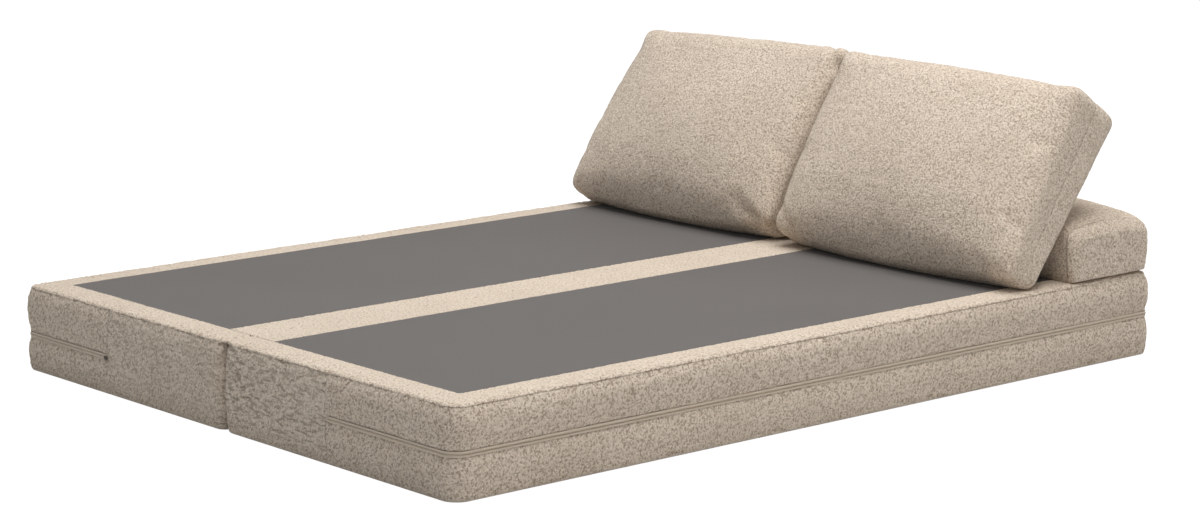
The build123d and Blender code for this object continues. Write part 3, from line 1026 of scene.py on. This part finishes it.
# %% [markdown]
# ## The bolster
#
# A firm foam bar in a loose cover: flat foot, bowed sides, rounded shoulders, and a crowned top
# that falls off towards the ends and slopes down softly over the last of each. Its section is a
# closed line that changes along the bar, and each end closes by drawing the section in to its
# middle while it moves outwards on a rounded rim. The foam inside is the same form, a bit smaller.

# %% Bolster form
bolster_low, bolster_high = box("bolster_cover")
BOLSTER_HALF = box("bolster_end_panels")[1][0]
BOLSTER_Y = (bolster_low[1] + bolster_high[1]) / 2
BOLSTER_SEAT = bolster_low[2]
BOLSTER_DEPTH, BOLSTER_HEIGHT = 255 * MM, 156 * MM
BOLSTER_MIDDLE = BOLSTER_HEIGHT * 0.45
BOLSTER_STEP = 4.2 * MM
SIDE_POINTS, ROUND_POINTS, RIM_RINGS, FACE_RINGS, CORE_RINGS = 30, 14, 8, 26, 90
BOLSTER_SAG = 0.18
SHOULDER, CROWN, SIDE_BOW, FOOT_TUCK = 30 * MM, 9 * MM, 5 * MM, 7 * MM
END_ROUND, END_BAND, END_DOME = 24 * MM, 26 * MM, 1.5 * MM
END_SHARE, FIRST_DRAW, LAST_DRAW = 0.45, 0.03, 0.02
SECOND_RING, ROUND_START = 0.8 * MM, 2 * MM
SEAM_WIDTH, SEAM_DRAW = 4 * MM, 0.008
SLOPE_LENGTH, SLOPE_END, SLOPE_FALL, SLOPE_DRAW = 62 * MM, 0.98, 0.21, 0.03
CORE_SHARE, CORE_END = 0.92, 10 * MM


def end_slope(x):
    """How far the soft slope of the ends has gone at each x: 0 along the bar, most at its end."""
    into = np.clip((np.abs(x) - BOLSTER_HALF + SLOPE_LENGTH) / SLOPE_LENGTH, 0, SLOPE_END)
    return 1 - np.sqrt(1 - into**2)


def bolster_outline():
    """The section at mid-length, as points round its middle, evenly spaced."""
    half, top = BOLSTER_DEPTH / 2, BOLSTER_HEIGHT - CROWN
    foot, in_x, in_z = half - FOOT_TUCK, half - SHOULDER, top - SHOULDER
    line = np.concatenate([
        bow((-foot, 0), (foot, 0), 0, SIDE_POINTS),
        bow((foot, 0), (half, in_z), SIDE_BOW, SIDE_POINTS),
        turn((in_x, in_z), SHOULDER, 0, 90, ROUND_POINTS),
        bow((in_x, top), (-in_x, top), CROWN, SIDE_POINTS),
        turn((-in_x, in_z), SHOULDER, 90, 180, ROUND_POINTS),
        bow((-half, in_z), (-foot, 0), SIDE_BOW, SIDE_POINTS)])
    steps = np.concatenate([[0], np.cumsum(np.linalg.norm(np.diff(line, axis=0), axis=1))])
    return between(spaced(steps[-1], BOLSTER_STEP)[:-1], steps, line)


def bolster_section(x, draw):
    """The outline at each x, lowered by the sag and slope of the ends, drawn in by a share."""
    outline = bolster_outline()
    along, slope = np.abs(x)[:, None] / BOLSTER_HALF, end_slope(x)[:, None]
    height = outline[None, :, 1] * (1 - BOLSTER_SAG * along**4) * (1 - SLOPE_FALL * slope)
    across = outline[None, :, 0] * (1 - SLOPE_DRAW * slope) * draw[:, None]
    up = BOLSTER_MIDDLE + (height - BOLSTER_MIDDLE) * draw[:, None]
    place = np.broadcast_to(x[:, None], across.shape)
    return np.stack([place, BOLSTER_Y + across, BOLSTER_SEAT + up], axis=2)


def bolster_body():
    """The tube between the two end panels, pressed in a little at both seams."""
    reach = BOLSTER_HALF - END_BAND
    x = marks(-reach, reach, BOLSTER_STEP)
    seam = np.exp(-((reach - np.abs(x)) / SEAM_WIDTH) ** 2)
    return tube("bolster_cover_cloth", bolster_section(x, 1 - SEAM_DRAW * seam))


def bolster_end(side):
    """One end: the rim turns in on a quarter round, then the face draws in to its middle."""
    angle = np.linspace(0, pi / 2, RIM_RINGS)
    inset = np.concatenate([[0, 0], END_ROUND * (1 - np.cos(angle)) * END_SHARE])
    rim = END_BAND - END_ROUND + ROUND_START + (END_ROUND - ROUND_START) * np.sin(angle)
    reach = np.concatenate([[0, SECOND_RING], rim])
    draw = 1 - inset / (BOLSTER_HEIGHT / 2)
    face = np.linspace(1, LAST_DRAW, FACE_RINGS)[1:]
    draw = np.concatenate([draw, draw[-1] * face])
    draw[0] -= FIRST_DRAW
    reach = np.concatenate([reach, reach[-1] + END_DOME * (1 - face**2)])
    x = side * (BOLSTER_HALF - END_BAND + np.minimum(reach, END_BAND + END_DOME))
    return bolster_section(x, draw)


def end_panels():
    """Both ends as one piece of two closed shells."""
    grids = [bolster_end(side) for side in (-1, 1)]
    faces, caps = [], []
    for grid, start, way in zip(grids, (0, grids[0].size // 3), (-1, 1)):
        sides, ends = wrapped(*grid.shape[:2], start)
        faces.append(sides[:, ::way])
        caps += [end[::way] for end in ends]
    points = np.concatenate([grid.reshape(-1, 3) for grid in grids])
    return solid("bolster_end_panels_cloth", points, np.concatenate(faces), caps)


# %% [markdown]
# Along a loose zip the cloth has no nap, and on the bolster it also sinks into a groove.

# %% Make the bolster
ZIP_EASE, ZIP_END, ZIP_REACH = 3.5 * MM, 4 * MM, 25 * MM
GROOVE_DEPTH = 3.4 * MM
BOLSTER_PILE, BARE_NAP, FOOT_NAP_RISE = 0.6, 0.25, 5 * MM


def on_zip(points, node, away_from):
    """How far points lie on a zip, from 0 to 1: full inside the tape's width, eased out past it."""
    axes = [axis[0] for axis in line_stations(node, away_from, 1.0)[1:]]
    centre = middle_of(node)
    along, off, across = ((points - centre) @ axis for axis in axes)
    reach = np.abs((places(nodes[node].data) - centre) @ axes[0]).max()
    near = 1 - smooth(LOOSE_TAPE_HALF, LOOSE_TAPE_HALF + ZIP_EASE, np.abs(across))
    near = near * (np.abs(off) < ZIP_REACH)
    return near * (1 - smooth(reach, reach + ZIP_END, np.abs(along)))


def bolster_foam():
    """The firm core, the same form drawn in all round."""
    reach = BOLSTER_HALF - CORE_END
    x = np.linspace(-reach, reach, CORE_RINGS)
    piece = tube("bolster_core_foam", bolster_section(x, np.full(len(x), CORE_SHARE)))
    seat(piece, "bolster", "base_foam", "bolster_core")


def bolster_cloth(piece, node):
    """Naps a piece of the cover but for its foot, and sinks it along the zip."""
    points = places(piece.data)
    shown = smooth(BOLSTER_SEAT - MM, BOLSTER_SEAT + FOOT_NAP_RISE, points[:, 2])
    zipped = on_zip(points, "bolster_zip_tape", middle_of("bolster_core"))
    upholster(piece, np.maximum(shown, BARE_NAP) * (1 - zipped), SIDE_SLACK, pile=BOLSTER_PILE)
    points = places(piece.data) - outward_normals(piece.data) * GROOVE_DEPTH * zipped[:, None]
    points[:, 2] = np.maximum(points[:, 2], BOLSTER_SEAT)
    move_to(piece.data, points)
    seat(piece, "bolster", "boucle", node)


bolster_foam()
body, ends = bolster_body(), end_panels()
bolster_cloth(body, "bolster_cover")
bolster_cloth(ends, "bolster_end_panels")

# %% [markdown]
# ## The back cushions
#
# A cushion starts as a rounded box of cloth, thicker at the head than at the foot, whose faces are
# crowned. Its filling is the inner pressure of a short cloth simulation, which swells the faces and
# pulls the sides in between the corners. Then folds are laid at the corners where the cloth has too
# much room, the bolster dents its back, and the bed presses its foot flat.

# %% Sizes of the cushions
LEAN = radians(56)
BACK = np.array([0.0, sin(LEAN), -cos(LEAN)])
UP = np.array([0.0, cos(LEAN), sin(LEAN)])
ACROSS = np.array([1.0, 0.0, 0.0])
CUSHION_HEIGHT, CUSHION_CORNER = 458 * MM, 27 * MM
CUSHION_CELLS = np.array([92, 14, 54])
MID_CELL = CUSHION_CELLS[1] / 2
FRONT_CROWN, BACK_CROWN, EDGE_CROWN, FOOT_SWELL = 46 * MM, 18 * MM, 12 * MM, 30 * MM
HEAD_FADE = 0.36
CREASE_DEPTHS = 0.2, 0.7
HEAD_TRIM = {"left": (34 * MM, -6 * MM), "right": (-6 * MM, 16 * MM)}
HEAD_LIFT = {"left": (-4 * MM, 22 * MM), "right": (15 * MM, 4 * MM)}
TRIM_START, SWELL_START = 0.4, 0.5
FOOT_FORWARD = {"left": 13 * MM, "right": 8 * MM}
BELLY_FORWARD = 14 * MM
FOOT_TURN, TURN_START = 34 * MM, -0.4
FOOT_PLACE = {"left": 600 * MM, "right": 592 * MM}
FOOT_RISE = 12 * MM
FOOT_HALF = {"left": 52 * MM, "right": 54 * MM}
HEAD_HALF = {"left": 75 * MM, "right": 84 * MM}
BED = block_height + 0.5 * MM

# %% The sewn form


def lattice():
    """Cells of the surface points of a box of cells, and its outer quads."""
    cells = np.indices(CUSHION_CELLS + 1).reshape(3, -1).T
    outside = ((cells == 0) | (cells == CUSHION_CELLS)).any(axis=1)
    number = np.full(len(cells), -1)
    number[outside] = np.arange(outside.sum())
    number = number.reshape(CUSHION_CELLS + 1)
    faces = [quads(np.take(number, end, axis=axis))[:, ::way * turned]
             for axis, turned in enumerate((1, -1, 1)) for end, way in ((0, -1), (-1, 1))]
    return cells[outside], np.concatenate(faces)


def rounded(points, half, radius):
    """Rounds a box: each point goes to the ball of that radius round the nearest point of the box
    that is smaller by the radius all round."""
    inner = np.clip(points, radius - half, half - radius)
    way = points - inner
    return inner + radius * way / np.linalg.norm(way, axis=1, keepdims=True)


def crown(share, power=0.7):
    """1 in the middle and 0 at both edges of a face, full in between: (1 - share^2)^power."""
    return np.clip(1 - share**2, 0, 1) ** power


def sewn_cushion(side):
    """The cushion as filled: across, through its thickness and up, then set in its place."""
    cells, faces = lattice()
    cube = 2 * cells / CUSHION_CELLS - 1
    low, high = box(f"{side}_cushion_front_cover")
    foot, head = FOOT_HALF[side], HEAD_HALF[side]
    half = np.array([(high[0] - low[0]) / 2 - 2 * MM, head, CUSHION_HEIGHT / 2])
    local = rounded(cube * half, half, CUSHION_CORNER)
    x, t, z = (local / half).T
    front, back, middle, rise = smooth(0, 1, -t), smooth(0, 1, t), crown(x, 0.4), (z + 1) / 2
    rising = crown(z, 1.0) * (1 - HEAD_FADE * z)
    local[:, 1] += (back * BACK_CROWN - front * FRONT_CROWN) * crown(x, 0.8) * rising
    turned = (np.clip(TURN_START - z, 0, None) / (1 + TURN_START)) ** 2
    local[:, 1] += front * middle * FOOT_TURN * turned
    swell = np.where(z > 0, EDGE_CROWN, -FOOT_SWELL) * smooth(SWELL_START, 1, np.abs(z))
    local[:, 2] += swell * crown(x) * crown(0.7 * t)
    (left_trim, right_trim), (left_lift, right_lift) = HEAD_TRIM[side], HEAD_LIFT[side]
    left, right = smooth(-TRIM_START, -1, x), smooth(TRIM_START, 1, x)
    local[:, 0] += rise * (left * left_trim - right * right_trim)
    local[:, 2] += rise * (left_lift + (right_lift - left_lift) * (x + 1) / 2)
    thick = foot + (head - foot) * (z + 1) / 2
    forward = (FOOT_FORWARD[side] + BELLY_FORWARD * middle) * (1 - rise)
    local[:, 1] = local[:, 1] * thick / head - forward
    origin = np.array([(low[0] + high[0]) / 2, FOOT_PLACE[side], block_height + FOOT_RISE])
    points = origin + local[:, :1] * ACROSS + local[:, 1:2] * BACK + (local[:, 2:] + half[2]) * UP
    return cells, points, faces


# %% Blow up a cushion
BLOW_FRAMES, BLOW_LIMIT = 20, 12 * MM
CLOTH = {"quality": 5, "mass": 0.3, "tension_stiffness": 15, "compression_stiffness": 15,
         "shear_stiffness": 5, "bending_stiffness": 0.5, "use_pressure": True,
         "uniform_pressure_force": 4}


def blown(piece):
    """The points after a short cloth simulation with inner pressure, none moved past a limit."""
    rest = places(piece.data)
    cloth = piece.modifiers.new("Blow", "CLOTH")
    for name, value in CLOTH.items():
        setattr(cloth.settings, name, value)
    cloth.settings.effector_weights.gravity = 0
    cloth.point_cache.frame_start, cloth.point_cache.frame_end = 1, BLOW_FRAMES
    scene = bpy.context.scene
    for step in range(1, BLOW_FRAMES + 1):
        scene.frame_set(step)
    moved = places(piece.evaluated_get(bpy.context.evaluated_depsgraph_get()).data)
    piece.modifiers.remove(cloth)
    scene.frame_set(1)
    way = moved - rest
    length = np.linalg.norm(way, axis=1, keepdims=True)
    print(piece.name, "blown by up to", (length.max() / MM).round(1), "mm")
    return rest + way * np.minimum(1, BLOW_LIMIT / np.maximum(length, 1e-9))


# %% Press it against the bed and the bolster
DENT_STEP, DENT_STEPS, DENT_GAP = 0.5 * MM, 160, 2.5 * MM


def in_bolster(points, gap):
    """Whether points lie in the bolster, grown by a gap: nearer its middle than its outline is at
    that angle."""
    outline = bolster_outline() - np.array([0, BOLSTER_HEIGHT / 2])
    angle = np.arctan2(outline[:, 1], outline[:, 0])
    order = np.argsort(angle)
    along, slope = np.clip(np.abs(points[:, 0]) / BOLSTER_HALF, 0, 1), end_slope(points[:, 0])
    scale = (1 - BOLSTER_SAG * along**4) * (1 - SLOPE_FALL * slope)
    height = (points[:, 2] - BOLSTER_SEAT) / scale - BOLSTER_HEIGHT / 2
    off = (points[:, 1] - BOLSTER_Y) / (1 - SLOPE_DRAW * slope)
    reach = np.linalg.norm(outline, axis=1)[order]
    limit = np.interp(np.arctan2(height, off), angle[order], reach, period=2 * pi)
    return np.hypot(off, height) < limit + gap


def settle(points, side):
    """The bolster dents the back, the bed flattens the foot and the solid's box trims the ends."""
    low, high = box(f"{side}_cushion_front_cover")
    for _ in range(DENT_STEPS):
        points[in_bolster(points, DENT_GAP)] -= DENT_STEP * BACK
    points[:, 2] = np.maximum(points[:, 2], BED)
    points[:, 0] = np.clip(points[:, 0], low[0], high[0])
    return points


# %% [markdown]
# A crease is given by its two ends, as shares of the cushion's width and height, its depth and its
# width.

# %% Creases
CREASES = {
    "left": (((0.85, 0.09), (0.99, -0.03), 7 * MM, 20 * MM),
             ((0.94, 1.0), (1.0, 0.88), 6 * MM, 14 * MM)),
    "right": (((1.0, 0.22), (0.92, 0.27), 1.2 * MM, 7 * MM),
              ((1.0, 0.16), (0.92, 0.18), 1.2 * MM, 7 * MM),
              ((1.0, 0.06), (0.96, 0.0), 3.5 * MM, 12 * MM),
              ((0.0, 0.14), (0.10, 0.0), 4 * MM, 14 * MM)),
}


def crease(place, size, start, end, depth, width):
    """A valley along a line on the face, with a lower ridge on each side:
    -depth (1 - r^2 / 2) exp(-r^2 / 2), where r counts widths from the line."""
    start, end = np.array(start) * size, np.array(end) * size
    way = end - start
    along = np.clip((place - start) @ way / (way @ way), 0, 1)
    off = np.linalg.norm(place - start - along[:, None] * way, axis=1) / width
    return -depth * (1 - off**2 / 2) * np.exp(-(off**2) / 2)


def folded(cells, side):
    """How far each point of a cushion sinks where its cloth is creased, on the front half only."""
    across, deep, rise = (cells / CUSHION_CELLS).T
    low, high = box(f"{side}_cushion_front_cover")
    size = np.array([high[0] - low[0], CUSHION_HEIGHT])
    place = np.stack([across, rise], axis=1) * size
    total = sum(crease(place, size, *line) for line in CREASES[side])
    return total * (1 - smooth(*CREASE_DEPTHS, deep))


# %% [markdown]
# The cover has two halves that meet at mid-thickness of the sides, where the seam is drawn in. Each
# gets its nap and the cloth's thickness, and the form drawn in all round is the filling.

# %% Make the cushions
COVER_THICKNESS = 3 * MM
SEAM_SINK, SEAM_CELLS = 2.0 * MM, 0.8
CUSHION_SLACK, CUSHION_PILE = 1.6 * MM, 0.42
FILLING_INSET = 9 * MM
FOOT_NAP, FULL_NAP = 0.1, block_height + 6 * MM


def cover_half(name, points, faces):
    """Its quads as a mesh of their own, subdivided once."""
    used, local = np.unique(faces, return_inverse=True)
    mesh = bpy.data.meshes.new(name)
    mesh.from_pydata(points[used].tolist(), [], local.reshape(-1, 4).tolist())
    mesh.shade_smooth()
    piece = linked(name, mesh)
    finer = piece.modifiers.new("Finer", "SUBSURF")
    finer.levels = finer.render_levels = 1
    shown = piece.evaluated_get(bpy.context.evaluated_depsgraph_get())
    dense = bpy.data.meshes.new_from_object(shown)
    piece.modifiers.remove(finer)
    piece.data = dense
    return piece


def cover(owner, kind, points, faces):
    """One half of the cover, napped but for its foot and its zip."""
    piece = cover_half(f"{owner}_{kind}_cloth", points, faces)
    dense = places(piece.data)
    shown = smooth(BED, FULL_NAP, dense[:, 2]) * (1 - FOOT_NAP) + FOOT_NAP
    zipped = on_zip(dense, f"{owner}_zip_tape", middle_of(f"{owner}_filling"))
    upholster(piece, shown * (1 - zipped), CUSHION_SLACK, pile=CUSHION_PILE)
    dense = places(piece.data)
    dense[:, 2] = np.maximum(dense[:, 2], BED)
    move_to(piece.data, dense)
    thick = piece.modifiers.new("Thickness", "SOLIDIFY")
    thick.thickness, thick.offset = COVER_THICKNESS, -1
    seat(piece, owner, "boucle", f"{owner}_{kind}")


def make_cushion(side):
    owner = f"{side}_cushion"
    cells, points, faces = sewn_cushion(side)
    whole = solid(f"{owner}_shape", points, faces)
    points = blown(whole)
    move_to(whole.data, points)
    points = settle(points + outward_normals(whole.data) * folded(cells, side)[:, None], side)
    move_to(whole.data, points)
    to_seam = np.abs(cells[:, 1] - MID_CELL)
    ends = (cells == 0) | (cells == CUSHION_CELLS)
    sink = SEAM_SINK * ends[:, [0, 2]].any(axis=1) * np.exp(-(to_seam / SEAM_CELLS) ** 2)
    points = points - outward_normals(whole.data) * sink[:, None]
    depth = cells[faces][:, :, 1].mean(axis=1)
    cover(owner, "front_cover", points, faces[depth < MID_CELL])
    cover(owner, "back_cover", points, faces[depth > MID_CELL])
    move_to(whole.data, points - outward_normals(whole.data) * FILLING_INSET)
    whole.name = f"{owner}_filling_fibre"
    seat(whole, owner, "fibre", f"{owner}_filling")


for side in ("left", "right"):
    make_cushion(side)

# %% [markdown]
# ## What stays as it is
#
# The foams of the blocks and the sliders of the bolster and the cushions are right as the frame has
# them, so they only get their finish.

# %% Finish the frame's own solids
for name, node in nodes.items():
    for slot in ("base_foam", "comfort_foam", "zip_slider"):
        if name.endswith(slot) and not node.hide_render:
            dress(node.data, slot)
            print("kept:", name)

# %% [markdown]
# ## Floor, light and camera
#
# A plain pale floor and large soft lamps. To the camera the floor is nearly its own white light, so
# that the ground is white as in a catalogue, but part of it stays plain paint and keeps the shadow.

# %% Floor and world
FLOOR_HALF = 30.0
FLOOR_PAINT, FLOOR_GLOW, GLOW_SHARE = shade(0.67, 0.68, 0.69), 1.2, 0.82
WHITE = shade(1, 1, 1)
WORLD_LIGHT = 0.29


def seen_by_eye(finish):
    """1 for rays of the camera, of a mirror or through glass."""
    camera, mirror, glass = (finish.node("ShaderNodeLightPath", output=f"Is {kind} Ray")
                             for kind in ("Camera", "Glossy", "Transmission"))
    return camera.maths("ADD", camera, mirror + glass, clamp=True)


def floor_finish():
    floor = Finish("pale_floor")
    paint = floor.node("ShaderNodeBsdfDiffuse", {}, {"Color": FLOOR_PAINT})
    glow = floor.node("ShaderNodeEmission", {}, {"Color": WHITE, "Strength": FLOOR_GLOW})
    share = seen_by_eye(floor) * GLOW_SHARE
    return floor.ends(floor.node("ShaderNodeMixShader", {}, (share, paint, glow)))


def make_floor():
    mesh = bpy.data.meshes.new("floor")
    corners = [(x * FLOOR_HALF, y * FLOOR_HALF, 0) for x, y in RING_CORNERS]
    mesh.from_pydata(corners, [], [(0, 1, 2, 3)])
    mesh.materials.append(floor_finish())
    linked("floor", mesh)


def make_world():
    sky = Finish("studio", bpy.data.worlds)
    strength = WORLD_LIGHT + (1 - WORLD_LIGHT) * seen_by_eye(sky)
    back = sky.node("ShaderNodeBackground", {}, {"Color": WHITE, "Strength": strength})
    bpy.context.scene.world = sky.ends(back, "ShaderNodeOutputWorld")


make_floor()
make_world()

# %% Lamps and camera
AIM = np.array([0.2, 0.0, 0.2])


def lamp(name, place, width, power, warmth=(1.0, 1.0, 1.0)):
    """A square soft lamp that looks at the object."""
    light = bpy.data.lights.new(name, "AREA")
    light.size, light.energy, light.color = width, power, warmth
    made = linked(name, light)
    made.location = place
    made.rotation_euler = Vector(AIM - np.array(place)).to_track_quat("-Z", "Y").to_euler()


lamp("overhead", (0.95, 0.1, 4.9), width=4.2, power=280, warmth=(1.0, 0.985, 0.965))
lamp("behind", (-0.5, 5.5, 3.0), width=3.0, power=18)
lamp("right", (5.5, 0.5, 2.6), width=3.0, power=12, warmth=(1.0, 0.80, 0.58))

PIXELS_WIDE, FOCAL_PIXELS, SENSOR_WIDTH = 1200, 3403.8, 36.0
EYE = (5.62692, -4.83191, 1.68672)
YAW, PITCH = 49.238, 11.102
lens = bpy.data.cameras.new("camera")
lens.sensor_width = SENSOR_WIDTH
lens.lens = FOCAL_PIXELS / PIXELS_WIDE * SENSOR_WIDTH
camera = linked("camera", lens)
camera.location = EYE
camera.rotation_euler = (radians(90 - PITCH), 0, radians(YAW))
bpy.context.scene.camera = camera
bpy.context.scene.view_settings.view_transform = "Standard"
print("lens", round(lens.lens, 2), "mm")
